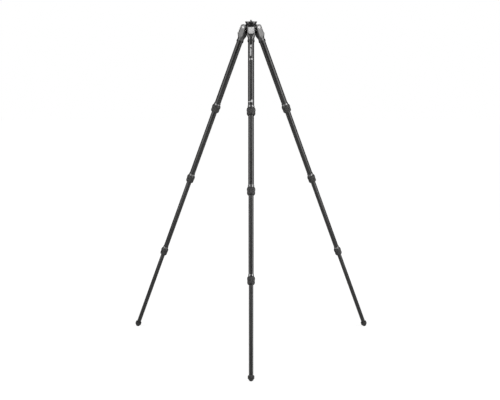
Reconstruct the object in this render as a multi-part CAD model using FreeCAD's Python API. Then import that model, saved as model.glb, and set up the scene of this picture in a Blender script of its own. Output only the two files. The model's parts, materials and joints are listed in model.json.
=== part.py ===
"""Columnless camera tripod: a compact hub with a flat head platform and three four-section twist-lock legs.

Frame: millimetres, +Z up, origin at the centre of the platform's top face, where a head rests.
Each leg is drawn upright about its own pivot (pivot at the origin, +X away from the tripod's axis,
+Y along the pivot bolt, the leg running down -Z), then swung out and moved to its place.
A distance along a leg is called a reach: it is measured down the leg from the pivot bolt.
"""

import FreeCAD, Part  # FreeCAD has to be imported before Part

import cmath
import math
import os

from FreeCAD import Placement, Rotation, Vector

# ---- driving dimensions, in millimetres and degrees ----

LEG_AZIMUTHS = {"front": -90.0, "right": 30.0, "left": 150.0}
LEG_ANGLE = 23.0  # each leg from the vertical, at the first angle stop
STOP_ANGLES = (23.0, 55.0, 85.0)
PIVOT_RADIUS = 37.0  # from the tripod's axis to a pivot bolt
PIVOT_Z = -30.0
RUNNING_GAP = 0.05  # radial clearance of anything that turns or slides
FIXED_GAP = 0.02  # radial clearance of anything glued, pressed or screwed in
CUT_PAST = 1.0  # how far a cutting shape reaches past the faces it opens

TUBE_DIAMETERS = (32.4, 29.2, 25.8, 22.2)
TUBE_WALL = 1.1
TUBE_OVERLAP = 60.0  # how far each section stays inside the one above when fully drawn out
LOCK_REACHES = (471.0, 896.0, 1355.0)  # centre of each twist lock
FOOT_REACH = 1849.0  # tip of the rubber foot

# platform and stud
PLATFORM_RADIUS = 31.5
PLATFORM_RIM = 2.5
PLATFORM_DEPTH = 12.0
PLATFORM_FOOT_RADIUS = 27.5
PLATFORM_BEVEL = 0.6
SPIGOT_RADIUS = 17.0
SPIGOT_DEPTH = 21.5
STUD_RADIUS = 4.76  # 3/8 inch thread, at its outside
STUD_HEIGHT = 8.5
STUD_DEPTH = 11.0
STUD_ROOT_RADIUS = 4.5  # where it is glued into the platform
STUD_RECESS_RADIUS = 8.0
STUD_RECESS_DEPTH = 0.8
STUD_SOCKET = 4.0  # across the flats
STUD_SOCKET_DEPTH = 3.5
GRUB_SCREW_RADIUS = 2.0
GRUB_SCREW_LENGTH = 6.0
GRUB_SCREW_SOCKET = 2.0  # across the flats
GRUB_SCREW_SOCKET_DEPTH = 2.0
GRUB_SCREW_CIRCLE = 22.0  # the upright ones in the platform
GRUB_SCREW_SINK = 0.3  # below the platform's face
GRUB_HOLE_DEPTH = 8.0

# hub
HUB_FLANGE_RADIUS = 28.0
HUB_FLANGE_Z = -19.0
HUB_BODY_RADIUS = 25.5
HUB_BODY_Z = -44.0
HUB_BOSS_RADIUS = 17.0
HUB_BOSS_Z = -52.0
HUB_BEVEL = 0.8
HUB_BOLT_HOLE_RADIUS = 4.3
LUG_RADIUS = 12.0
LUG_HALF_WIDTH = 12.1
NOTCH_DEPTH = 2.0
NOTCH_WIDTH = 4.4
EAR_POCKET_RADIUS = 17.5  # room for a casting cheek, beside a lug
EAR_POCKET_INNER = 17.8  # from the tripod's axis
EAR_POCKET_OUTER = 22.5  # from the leg's centre plane
SIDE_SCREW_Z = -16.0  # the level ones in the hub, which hold the platform's spigot
LEVEL_LEG = "right"
LEVEL_RADIUS = 4.5
LEVEL_DEPTH = 3.5
LEVEL_OUTER = 37.5  # from the tripod's axis to the level's centre
LEVEL_SINK = 0.1  # below the lug's top

# leg casting
CASTING_DEPTH = 36.0  # along X
CASTING_WIDTH = 42.0  # along Y
CASTING_TOP = 15.0
CASTING_BLOCK_REACH = 47.0
CASTING_ROUND_REACH = 62.0
CASTING_REACH = 74.0
CASTING_ROUND_RADIUS = 17.5
END_RING_RADIUS = 18.9  # black ring that closes the casting's lower end
END_RING_REACH = 84.0
SLOT_HALF_WIDTH = 13.0
SLOT_REACH = 28.0
SOCKET_REACH = 34.0
CASTING_SHOULDER = 22.0  # reach where the fork starts to taper upwards
CASTING_CORNER = 5.5
CASTING_BEVEL = 0.8
PANEL_HALF_WIDTH = 11.5  # the shallow panel on each cheek
PANEL_TOP = 12.0
PANEL_BOTTOM = 44.0
PANEL_CORNER = 3.0
PANEL_RECESS = 0.8

# pivot
BOLT_RADIUS = 4.0
BOLT_HEAD_RADIUS = 6.4
BOLT_HEAD_SEAT = 18.5  # from the leg's centre plane
BOLT_HEAD_END = 21.6
BOLT_HEAD_POCKET_RADIUS = 6.7
BOLT_SOCKET = 5.0  # across the flats
BOLT_SOCKET_DEPTH = 2.0
BUSH_INNER_END = 0.2  # from the leg's centre plane
BUSH_RADIUS = 6.0
BUSH_FLANGE_RADIUS = 9.0
BUSH_FLANGE_END = 12.9

# angle tab
TAB_HALF_WIDTH = 15.0
TAB_TOP = 9.0
TAB_REACH = 46.0
TAB_INNER_X = 18.4
TAB_OUTER_X = 22.4
TAB_LIP_X = 25.4
TAB_BEND_REACH = 35.0  # where the outer face starts to sweep out to the lip
TAB_LIP_REACH = 41.5
TAB_BOTTOM_CORNER = 9.0
PAWL_TOP = 12.4
PAWL_BOTTOM = 20.0
PAWL_INNER_X = -6.0
PAWL_HALF_WIDTH = 12.8
SPRING_X = 8.0
SPRING_RADIUS = 2.6
SPRING_WIRE = 0.45
SPRING_TURNS = 5
SPRING_POCKET_RADIUS = 3.5
SPRING_POCKET_DEPTH = 1.5
SPRING_SEAT_REACH = 16.0

# twist lock: reaches from the lock's centre, and radii over the radius of the tube above it
COLLAR_HALF = 20.0
SLEEVE_TOP = -31.0
SLEEVE_BOTTOM = 10.0
SLEEVE_RING = 1.5
SLEEVE_THREAD = 1.4
TUBE_END = 2.0
COLLET_TOP = 3.0
COLLET_STEP = 10.3
COLLET_BOTTOM = 14.0
COLLET_SLIT = 1.5
COLLAR_SHOULDER = 14.3
COLLAR_BORE = 1.5
COLLAR_LIP_GAP = 0.35
NUT_RADIUS = 3.4
NUT_TOP_RADIUS = 3.4
NUT_RIM_RADIUS = 5.3
NUT_FOOT_RIM_RADIUS = 5.0
NUT_FOOT_RADIUS = 3.8  # over the radius of the tube below
NUT_RIM_HEIGHT = 1.0
GRIP_TOP = -16.5
GRIP_BOTTOM = 15.5
GRIP_OUTLINE = (  # reach from the lock's centre, radius over the tube above
    (GRIP_TOP, 5.5), (-13.0, 6.6), (-8.0, 7.1), (1.5, 5.6), (9.0, 6.3), (GRIP_BOTTOM, 5.2),
)
SHIM_LENGTH = 45.0
SHIM_SLIT = 2.0

# foot
FOOT_HEIGHT = 29.0
FOOT_RADIUS = 16.5
FOOT_TIP_RADIUS = 14.0
FOOT_TIP_EDGE_ANGLE = 48.0  # half the angle the ball-shaped tip spans
FOOT_SIDE = (  # radius, reach below the foot's top
    (13.4, 0.0), (15.6, 1.2), (FOOT_RADIUS, 3.5), (FOOT_RADIUS, 14.5), (15.4, 17.0), (12.4, 19.5),
)
FOOT_SOCKET_DEPTH = 6.0
FOOT_PLUG_LENGTH = 25.0
FOOT_STUD_RADIUS = 4.7
FOOT_STUD_LENGTH = 34.0
FOOT_STUD_BOTTOM = 18.0  # below the foot's top

# clamp knob and weight hook
KNOB_RADIUS = 14.0
KNOB_TOP = -53.0
KNOB_BOTTOM = -62.0
KNOB_FLUTES = 12
KNOB_FLUTE_RADIUS = 2.2
KNOB_FLUTE_CIRCLE = 14.8
KNOB_BEVEL = 1.0
EYE_HALF_WIDTH = 5.0
EYE_HALF_THICKNESS = 3.0
EYE_BOTTOM = -71.0
EYE_CORNER = 4.0
HOOK_Z = -67.0
HOOK_HALF_WIDTH = 8.0
HOOK_WIRE = 1.5
HOOK_DROP = 8.0

# ---- helpers ----

X_AXIS = Vector(1, 0, 0)
Y_AXIS = Vector(0, 1, 0)
Z_AXIS = Vector(0, 0, 1)
ORIGIN = Vector(0, 0, 0)
SAME_POINT = 1e-6  # corners closer than this are joined without a line


def rounded_wire(corners, place):
    """Closed wire through corners (a, b, radius), each rounded to its radius.

    The function place(a, b) gives the point in space.
    """
    arcs = []
    for i, (a, b, radius) in enumerate(corners):
        here = complex(a, b)
        back = complex(*corners[i - 1][:2]) - here
        ahead = complex(*corners[(i + 1) % len(corners)][:2]) - here
        back, ahead = back / abs(back), ahead / abs(ahead)
        half = abs(cmath.phase(ahead / back)) / 2
        bisector = (back + ahead) / abs(back + ahead) if radius else 0
        cut = radius / math.tan(half)
        middle = here + bisector * (radius / math.sin(half) - radius)
        arcs.append((here + back * cut, middle, here + ahead * cut, radius))
    spot = lambda p: place(p.real, p.imag)
    edges = []
    for i, (start, middle, end, radius) in enumerate(arcs):
        if radius:
            edges.append(Part.Arc(spot(start), spot(middle), spot(end)).toShape())
        following = arcs[(i + 1) % len(arcs)][0]
        if abs(following - end) > SAME_POINT:
            edges.append(Part.makeLine(spot(end), spot(following)))
    return Part.Wire(edges)


def prism(corners, place, along):
    """Solid between a rounded outline and its copy moved by the vector along."""
    return Part.Face(rounded_wire(corners, place)).extrude(along)


def side_prism(corners, half_width):
    """Solid from an outline in the XZ plane, reaching half_width to each side of it."""
    place = lambda a, b: Vector(a, -half_width, b)
    return prism(corners, place, Vector(0, 2 * half_width, 0))


def box(low, high):
    return Part.makeBox(*[h - l for l, h in zip(low, high)], Vector(*low))


def cylinder(radius, start, end):
    """Solid cylinder between two points."""
    start, end = Vector(*start), Vector(*end)
    return Part.makeCylinder(radius, (end - start).Length, start, end - start)


def turned(points):
    """Solid of revolution about Z from a closed outline of (radius, z) points."""
    corners = [Vector(r, 0, z) for r, z in points]
    return Part.Face(Part.makePolygon(corners + corners[:1])).revolve(ORIGIN, Z_AXIS, 360)


def turned_leg_part(points):
    """Solid of revolution about the leg's axis from (radius, reach) points."""
    return turned([(radius, -reach) for radius, reach in points])


def leg_ring(outer, inner, top, bottom):
    """Hollow cylinder about the leg's axis between two reaches."""
    return turned_leg_part([(inner, top), (outer, top), (outer, bottom), (inner, bottom)])


def hexagon_prism(across_flats, base, along):
    """Hexagonal prism standing on the point base."""
    base, along = Vector(*base), Vector(*along)
    turn = Rotation(Z_AXIS, along)
    corner_radius = across_flats / 2 / math.cos(math.pi / 6)
    points = []
    for k in range(7):
        angle = k * math.pi / 3
        corner = Vector(corner_radius * math.cos(angle), corner_radius * math.sin(angle), 0)
        points.append(base + turn.multVec(corner))
    return Part.Face(Part.makePolygon(points)).extrude(along)


def rectangle_corners(half_a, half_b, radius):
    """The corners of a centred rectangle, for rounded_wire."""
    signs = ((1, 1), (-1, 1), (-1, -1), (1, -1))
    return [(half_a * a, half_b * b, radius) for a, b in signs]


def leg_placement(azimuth, angle=LEG_ANGLE):
    """Carries a leg from its upright drawing position to its place on the hub."""
    turn = math.radians(azimuth)
    pivot = Vector(PIVOT_RADIUS * math.cos(turn), PIVOT_RADIUS * math.sin(turn), PIVOT_Z)
    return Placement(pivot, Rotation(Z_AXIS, azimuth) * Rotation(Y_AXIS, -angle))


def placed(shape, placement):
    moved = shape.copy()
    moved.Placement = placement.multiply(shape.Placement)
    return moved


def around(shape, azimuth):
    """The shape turned about the tripod's axis."""
    return placed(shape, Placement(ORIGIN, Rotation(Z_AXIS, azimuth)))


def at_every_pivot(shape):
    """One copy of an upright leg-frame shape at each pivot, not swung out."""
    return [placed(shape, leg_placement(azimuth, 0.0)) for azimuth in LEG_AZIMUTHS.values()]


def tube_radius(section):
    """Outside radius of a leg section's tube; section 1 is the top one."""
    return TUBE_DIAMETERS[section - 1] / 2


def tube_top(section):
    """Reach of the upper end of a section's tube."""
    if section == 1:
        return SOCKET_REACH + 0.5
    return LOCK_REACHES[section - 2] + TUBE_END - TUBE_OVERLAP


def tube_bottom(section):
    """Reach of the lower end of a section's tube."""
    if section == len(TUBE_DIAMETERS):
        return FOOT_REACH - FOOT_HEIGHT + FOOT_SOCKET_DEPTH
    return LOCK_REACHES[section - 1] + TUBE_END


# ---- hub and head platform ----


def hub():
    """Central casting with three lugs that carry the leg pivots and their angle-stop notches."""
    body = turned([
        (0, -PLATFORM_DEPTH), (HUB_FLANGE_RADIUS - HUB_BEVEL, -PLATFORM_DEPTH),
        (HUB_FLANGE_RADIUS, -PLATFORM_DEPTH - HUB_BEVEL), (HUB_FLANGE_RADIUS, HUB_FLANGE_Z + 1),
        (HUB_BODY_RADIUS, HUB_FLANGE_Z - 1.5), (HUB_BODY_RADIUS, HUB_BODY_Z + 2),
        (HUB_BODY_RADIUS - 2, HUB_BODY_Z), (HUB_BOSS_RADIUS, HUB_BODY_Z),
        (HUB_BOSS_RADIUS, HUB_BOSS_Z + 1), (HUB_BOSS_RADIUS - 1, HUB_BOSS_Z), (0, HUB_BOSS_Z),
    ])
    for room in at_every_pivot(ear_room(1)) + at_every_pivot(ear_room(-1)):
        body = body.cut(room)
    for one in at_every_pivot(lug()):
        body = body.fuse(one)
    body = body.cut(cylinder(SPIGOT_RADIUS + RUNNING_GAP, ORIGIN, (0, 0, -SPIGOT_DEPTH - 0.5)))
    body = body.cut(cylinder(HUB_BOLT_HOLE_RADIUS, ORIGIN, (0, 0, HUB_BOSS_Z - CUT_PAST)))
    side_hole = cylinder(
        GRUB_SCREW_RADIUS + FIXED_GAP, (0, 0, SIDE_SCREW_Z), (HUB_FLANGE_RADIUS + CUT_PAST, 0, SIDE_SCREW_Z)
    )
    for azimuth in between_legs():
        body = body.cut(around(side_hole, azimuth))
    return body.cut(level_seat()).removeSplitter()


def ear_room(side):
    """The space that a casting's cheek swings in, on one side of a lug, in the upright leg frame."""
    low = (EAR_POCKET_INNER - PIVOT_RADIUS, LUG_HALF_WIDTH, -2 * PIVOT_RADIUS)
    high = (2 * PIVOT_RADIUS, EAR_POCKET_OUTER, 0)
    sector = cylinder(EAR_POCKET_RADIUS, (0, LUG_HALF_WIDTH, 0), (0, EAR_POCKET_OUTER, 0))
    room = box(low, high).fuse(sector)
    return room if side > 0 else room.mirror(ORIGIN, Y_AXIS)


def level_seat():
    """The round pocket for the bubble level, in the top of its lug."""
    top = PIVOT_Z + LUG_RADIUS
    seat = cylinder(
        LEVEL_RADIUS + FIXED_GAP, (LEVEL_OUTER, 0, top + CUT_PAST), (LEVEL_OUTER, 0, top - LEVEL_DEPTH)
    )
    return around(seat, LEG_AZIMUTHS[LEVEL_LEG])


def lug():
    """One pivot lug in the upright leg frame: a rounded arm from the hub with three notches in its end."""
    inner = SPIGOT_RADIUS + 3 - PIVOT_RADIUS
    round_end = LUG_RADIUS - 0.01  # a full half circle would leave no straight piece between the arcs
    arm = side_prism(
        [(inner, LUG_RADIUS, 0), (LUG_RADIUS, LUG_RADIUS, round_end),
         (LUG_RADIUS, -LUG_RADIUS, round_end), (inner, -LUG_RADIUS, 0)],
        LUG_HALF_WIDTH,
    )
    past = LUG_HALF_WIDTH + CUT_PAST
    notch = box(
        (-NOTCH_WIDTH / 2, -past, -LUG_RADIUS - CUT_PAST), (NOTCH_WIDTH / 2, past, -LUG_RADIUS + NOTCH_DEPTH)
    )
    for angle in STOP_ANGLES:
        arm = arm.cut(placed(notch, Placement(ORIGIN, Rotation(Y_AXIS, -angle))))
    return arm.cut(cylinder(BUSH_RADIUS + FIXED_GAP, (0, -past, 0), (0, past, 0)))


def platform():
    """Round plate that a head rests on, with a spigot that drops into the hub."""
    plate = turned([
        (0, 0), (PLATFORM_RADIUS - PLATFORM_BEVEL, 0), (PLATFORM_RADIUS, -PLATFORM_BEVEL),
        (PLATFORM_RADIUS, -PLATFORM_RIM), (PLATFORM_FOOT_RADIUS, -PLATFORM_DEPTH),
        (SPIGOT_RADIUS, -PLATFORM_DEPTH), (SPIGOT_RADIUS, -SPIGOT_DEPTH + PLATFORM_BEVEL),
        (SPIGOT_RADIUS - PLATFORM_BEVEL, -SPIGOT_DEPTH), (0, -SPIGOT_DEPTH),
    ])
    above = (0, 0, CUT_PAST)
    plate = plate.cut(cylinder(STUD_ROOT_RADIUS + FIXED_GAP, above, (0, 0, -STUD_DEPTH - 0.2)))
    plate = plate.cut(cylinder(STUD_RECESS_RADIUS, above, (0, 0, -STUD_RECESS_DEPTH)))
    plate = plate.cut(
        cylinder(BOLT_RADIUS + RUNNING_GAP, (0, 0, -STUD_DEPTH - 2), (0, 0, -SPIGOT_DEPTH - CUT_PAST))
    )
    hole_top, hole_end = (GRUB_SCREW_CIRCLE, 0, CUT_PAST), (GRUB_SCREW_CIRCLE, 0, -GRUB_HOLE_DEPTH)
    hole = cylinder(GRUB_SCREW_RADIUS + FIXED_GAP, hole_top, hole_end)
    for azimuth in between_legs():
        plate = plate.cut(around(hole, azimuth))
    return plate


def between_legs():
    """The azimuths midway between neighbouring legs."""
    return [azimuth + 60 for azimuth in LEG_AZIMUTHS.values()]


def head_stud():
    """Threaded stud that a head screws onto, drawn at its thread's outside, with a hex socket in its end."""
    stud = turned([
        (0, -STUD_DEPTH), (STUD_ROOT_RADIUS, -STUD_DEPTH), (STUD_ROOT_RADIUS, -STUD_RECESS_DEPTH),
        (STUD_RADIUS, -STUD_RECESS_DEPTH), (STUD_RADIUS, STUD_HEIGHT - 1), (STUD_RADIUS - 1, STUD_HEIGHT),
        (0, STUD_HEIGHT),
    ])
    socket = hexagon_prism(
        STUD_SOCKET, (0, 0, STUD_HEIGHT - STUD_SOCKET_DEPTH), (0, 0, STUD_SOCKET_DEPTH + CUT_PAST)
    )
    return stud.cut(socket)


def grub_screws():
    """Six equal hex-socket screws: three stop a head from turning, three hold the platform's spigot."""
    screw = cylinder(GRUB_SCREW_RADIUS, (0, 0, -GRUB_SCREW_LENGTH), ORIGIN)
    screw = screw.cut(hexagon_prism(
        GRUB_SCREW_SOCKET, (0, 0, -GRUB_SCREW_SOCKET_DEPTH), (0, 0, GRUB_SCREW_SOCKET_DEPTH + CUT_PAST)
    ))
    upright = Placement(Vector(GRUB_SCREW_CIRCLE, 0, -GRUB_SCREW_SINK), Rotation())
    level_end = SPIGOT_RADIUS + 0.1 + GRUB_SCREW_LENGTH
    level = Placement(Vector(level_end, 0, SIDE_SCREW_Z), Rotation(Z_AXIS, X_AXIS))
    pair = [placed(screw, upright), placed(screw, level)]
    return Part.makeCompound([around(one, azimuth) for azimuth in between_legs() for one in pair])


def bubble_level():
    """Round spirit level let into the top of one lug."""
    top = PIVOT_Z + LUG_RADIUS - LEVEL_SINK
    bottom = top - LEVEL_DEPTH + LEVEL_SINK + FIXED_GAP
    vial = cylinder(LEVEL_RADIUS, (LEVEL_OUTER, 0, bottom), (LEVEL_OUTER, 0, top))
    return around(vial, LEG_AZIMUTHS[LEVEL_LEG])


# ---- leg pivots ----


def pivot_bolts():
    """One bolt and its cap nut through each lug and pair of casting cheeks."""
    seat = BOLT_HEAD_SEAT + 0.1
    cap = cylinder(BOLT_HEAD_RADIUS, (0, seat, 0), (0, BOLT_HEAD_END, 0))
    cap = cap.cut(hexagon_prism(
        BOLT_SOCKET, (0, BOLT_HEAD_END - BOLT_SOCKET_DEPTH, 0), (0, BOLT_SOCKET_DEPTH + CUT_PAST, 0)
    ))
    bolt = cylinder(BOLT_RADIUS, (0, -seat, 0), (0, seat, 0)).fuse(cap).removeSplitter()
    nut = cap.mirror(ORIGIN, Y_AXIS)
    return Part.makeCompound(at_every_pivot(bolt) + at_every_pivot(nut))


def pivot_bushes():
    """Flanged bushes, two in each lug, that the bolts run in and the casting cheeks rub on."""
    sleeve = cylinder(BUSH_RADIUS, (0, BUSH_INNER_END, 0), (0, LUG_HALF_WIDTH, 0))
    flange = cylinder(BUSH_FLANGE_RADIUS, (0, LUG_HALF_WIDTH, 0), (0, BUSH_FLANGE_END, 0))
    bore = cylinder(BOLT_RADIUS + RUNNING_GAP, (0, -CUT_PAST, 0), (0, BUSH_FLANGE_END + CUT_PAST, 0))
    bush = sleeve.fuse(flange).cut(bore).removeSplitter()
    return Part.makeCompound(at_every_pivot(bush) + at_every_pivot(bush.mirror(ORIGIN, Y_AXIS)))


def casting():
    """Forked top of a leg: two cheeks over the hub's lug, a socket for the top tube, and its end ring."""
    half_x, half_y = CASTING_DEPTH / 2, CASTING_WIDTH / 2
    body = casting_fork(half_x, half_y).fuse(casting_neck(half_x, half_y))
    body = body.cut(box((-40, -SLOT_HALF_WIDTH, -SLOT_REACH), (40, SLOT_HALF_WIDTH, 40)))
    socket_end = (0, 0, -CASTING_REACH - CUT_PAST)
    body = body.cut(cylinder(tube_radius(1) + FIXED_GAP, (0, 0, -SOCKET_REACH), socket_end))
    body = body.cut(cylinder(BOLT_RADIUS + RUNNING_GAP, (0, -40, 0), (0, 40, 0)))
    spring_seat = (SPRING_X, 0, -SLOT_REACH - SPRING_POCKET_DEPTH)
    body = body.cut(cylinder(SPRING_POCKET_RADIUS, (SPRING_X, 0, -SLOT_REACH + CUT_PAST), spring_seat))
    panel = side_prism(
        [(PANEL_HALF_WIDTH, -PANEL_TOP, PANEL_CORNER), (PANEL_HALF_WIDTH, -PANEL_BOTTOM, PANEL_CORNER),
         (-PANEL_HALF_WIDTH, -PANEL_BOTTOM, PANEL_CORNER), (-PANEL_HALF_WIDTH, -PANEL_TOP, PANEL_CORNER)],
        PANEL_RECESS,
    )
    for side in (-1, 1):
        head_pocket = cylinder(BOLT_HEAD_POCKET_RADIUS, (0, side * BOLT_HEAD_SEAT, 0), (0, side * 40, 0))
        body = body.cut(head_pocket)
        body = body.cut(placed(panel, Placement(Vector(0, side * half_y, 0), Rotation())))
    return Part.makeCompound([body.removeSplitter(), end_ring()])


def end_ring():
    """Black ring round the top tube, against the casting's lower end."""
    inner, outer = tube_radius(1) + FIXED_GAP, END_RING_RADIUS
    return turned_leg_part([
        (inner, CASTING_REACH + 0.01), (outer - CASTING_BEVEL, CASTING_REACH + 0.01),
        (outer, CASTING_REACH + CASTING_BEVEL), (outer, END_RING_REACH - CASTING_BEVEL),
        (outer - CASTING_BEVEL, END_RING_REACH), (inner, END_RING_REACH),
    ])


def casting_fork(half_x, half_y):
    """The upper part of the casting, before its slot is cut."""
    fork = side_prism(
        [(half_x, -CASTING_BLOCK_REACH, 0), (half_x, -CASTING_SHOULDER, 8),
         (CASTING_TOP, CASTING_TOP, 14), (-CASTING_TOP, CASTING_TOP, 14),
         (-half_x, -CASTING_SHOULDER, 8), (-half_x, -CASTING_BLOCK_REACH, 0)],
        half_y,
    )
    corners = rectangle_corners(half_x, half_y, CASTING_CORNER)
    rounded_block = prism(corners, lambda a, b: Vector(a, b, -60), Vector(0, 0, 90))
    return fork.common(rounded_block)


def casting_neck(half_x, half_y):
    """The lower part of the casting: it changes from the block to a round barrel over the tube."""
    block = rounded_wire(
        rectangle_corners(half_x, half_y, CASTING_CORNER), lambda a, b: Vector(a, b, -CASTING_BLOCK_REACH)
    )
    nearly_round = CASTING_ROUND_RADIUS - 0.05  # keeps four short straight pieces, to match the block's wire
    round_end = rounded_wire(
        rectangle_corners(CASTING_ROUND_RADIUS, CASTING_ROUND_RADIUS, nearly_round),
        lambda a, b: Vector(a, b, -CASTING_ROUND_REACH),
    )
    barrel = turned_leg_part([
        (0, CASTING_ROUND_REACH), (CASTING_ROUND_RADIUS, CASTING_ROUND_REACH),
        (CASTING_ROUND_RADIUS, CASTING_REACH - CASTING_BEVEL),
        (CASTING_ROUND_RADIUS - CASTING_BEVEL, CASTING_REACH), (0, CASTING_REACH),
    ])
    return Part.makeLoft([block, round_end], True, True).fuse(barrel)


def angle_tab():
    """Pull tab on the outside of the casting, with the pawl that meets the hub's notches."""
    profile = side_prism(
        [(TAB_INNER_X, -TAB_TOP, 0), (TAB_OUTER_X - 0.8, -TAB_TOP, 0), (TAB_OUTER_X, -TAB_TOP - 1.5, 0),
         (TAB_OUTER_X, -TAB_BEND_REACH, 10), (TAB_LIP_X, -TAB_LIP_REACH, 2), (TAB_LIP_X, -TAB_REACH, 1),
         (TAB_INNER_X, -TAB_REACH, 0)],
        TAB_HALF_WIDTH,
    )
    shield = prism(
        [(-TAB_HALF_WIDTH, -TAB_TOP, 2), (TAB_HALF_WIDTH, -TAB_TOP, 2),
         (TAB_HALF_WIDTH, -TAB_REACH, TAB_BOTTOM_CORNER), (-TAB_HALF_WIDTH, -TAB_REACH, TAB_BOTTOM_CORNER)],
        lambda a, b: Vector(0, a, b),
        Vector(40, 0, 0),
    )
    pawl = box(
        (PAWL_INNER_X, -PAWL_HALF_WIDTH, -PAWL_BOTTOM), (TAB_INNER_X + 1, PAWL_HALF_WIDTH, -PAWL_TOP)
    )
    pocket = cylinder(
        SPRING_POCKET_RADIUS, (SPRING_X, 0, -PAWL_BOTTOM - CUT_PAST), (SPRING_X, 0, -SPRING_SEAT_REACH)
    )
    return profile.common(shield).fuse(pawl).cut(pocket).removeSplitter()


def tab_spring():
    """Compression spring between the casting and the pawl."""
    low = -SLOT_REACH - SPRING_POCKET_DEPTH + SPRING_WIRE + RUNNING_GAP
    height = -SPRING_SEAT_REACH - SPRING_WIRE - RUNNING_GAP - low
    path = Part.makeHelix(height / SPRING_TURNS, height, SPRING_RADIUS)
    section = Part.Wire(Part.makeCircle(SPRING_WIRE, Vector(SPRING_RADIUS, 0, 0), Y_AXIS))
    coil = Part.Wire(path).makePipeShell([section], True, True)
    coil.translate(Vector(SPRING_X, 0, low))
    return coil


# ---- telescoping sections and twist locks ----


def tube(section):
    """Carbon tube of one section; the lowest also holds the bonded plug that the foot screws into."""
    outer = tube_radius(section)
    top, bottom = tube_top(section), tube_bottom(section)
    shell = leg_ring(outer, outer - TUBE_WALL, top, bottom)
    if section < len(TUBE_DIAMETERS):
        return shell
    plug = leg_ring(
        outer - TUBE_WALL - FIXED_GAP, FOOT_STUD_RADIUS + FIXED_GAP, bottom - FOOT_PLUG_LENGTH, bottom
    )
    return Part.makeCompound([shell, plug])


def shims(section):
    """Two half-round plastic shims on the top of a sliding tube, which guide it in the tube above."""
    inner = tube_radius(section) + 0.01
    outer = tube_radius(section - 1) - TUBE_WALL - RUNNING_GAP
    top = tube_top(section) + 3
    bottom = top + SHIM_LENGTH
    past = outer + CUT_PAST
    slit = box((-past, -SHIM_SLIT / 2, -bottom - CUT_PAST), (past, SHIM_SLIT / 2, -top + CUT_PAST))
    return Part.makeCompound(leg_ring(outer, inner, top, bottom).cut(slit).Solids)


def lock_sleeve(lock):
    """Metal sleeve bonded to the upper tube, with the split collet that grips the lower tube."""
    centre = LOCK_REACHES[lock - 1]
    upper, lower = tube_radius(lock), tube_radius(lock + 1)
    bore, ring, thread = upper + FIXED_GAP, upper + SLEEVE_RING, upper + SLEEVE_THREAD
    sleeve = turned_leg_part([
        (bore, centre + SLEEVE_TOP), (ring - 0.5, centre + SLEEVE_TOP), (ring, centre + SLEEVE_TOP + 0.8),
        (ring, centre - COLLAR_HALF - 1), (thread, centre - COLLAR_HALF - 0.5),
        (thread, centre + SLEEVE_BOTTOM), (bore, centre + SLEEVE_BOTTOM),
    ])
    grip, seat = lower + RUNNING_GAP, upper - RUNNING_GAP
    collet = turned_leg_part([
        (grip, centre + COLLET_TOP), (seat, centre + COLLET_TOP), (seat, centre + COLLET_STEP),
        (thread - 0.1, centre + COLLET_STEP), (thread - 1.2, centre + COLLET_BOTTOM),
        (grip, centre + COLLET_BOTTOM),
    ])
    slit = box(
        (0, -COLLET_SLIT / 2, -centre - COLLET_BOTTOM - CUT_PAST), (upper + 5, COLLET_SLIT / 2, -centre)
    )
    return Part.makeCompound([sleeve, collet.cut(slit)])


def lock_collar(lock):
    """Twist collar: a threaded nut with a waisted rubber grip moulded round it."""
    centre = LOCK_REACHES[lock - 1]
    upper, lower = tube_radius(lock), tube_radius(lock + 1)
    bore, lip = upper + COLLAR_BORE, lower + COLLAR_LIP_GAP
    rim, foot_rim = upper + NUT_RIM_RADIUS, upper + NUT_FOOT_RIM_RADIUS
    grip_top, grip_bottom = centre + GRIP_TOP, centre + GRIP_BOTTOM
    nut = turned_leg_part([
        (bore, centre - COLLAR_HALF), (upper + NUT_TOP_RADIUS, centre - COLLAR_HALF),
        (rim, grip_top - NUT_RIM_HEIGHT), (rim, grip_top),
        (upper + NUT_RADIUS, grip_top), (upper + NUT_RADIUS, grip_bottom),
        (foot_rim, grip_bottom), (foot_rim, grip_bottom + NUT_RIM_HEIGHT),
        (lower + NUT_FOOT_RADIUS, centre + COLLAR_HALF), (lip, centre + COLLAR_HALF),
        (lip, centre + COLLAR_SHOULDER), (bore, centre + COLLAR_SHOULDER),
    ])
    return Part.makeCompound([nut, collar_grip(upper, centre)])


def collar_grip(upper, centre):
    """Rubber grip: an upper bead, a waist and a lower bead, as a smooth turned outline."""
    outline = [Vector(upper + over, 0, -centre - reach) for reach, over in GRIP_OUTLINE]
    curve = Part.BSplineCurve()
    curve.interpolate(outline)
    inner = upper + NUT_RADIUS + 0.01
    top = Vector(inner, 0, outline[0].z)
    bottom = Vector(inner, 0, outline[-1].z)
    back = Part.makePolygon([outline[-1], bottom, top, outline[0]])
    return Part.Face(Part.Wire([curve.toShape()] + back.Edges)).revolve(ORIGIN, Z_AXIS, 360)


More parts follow.
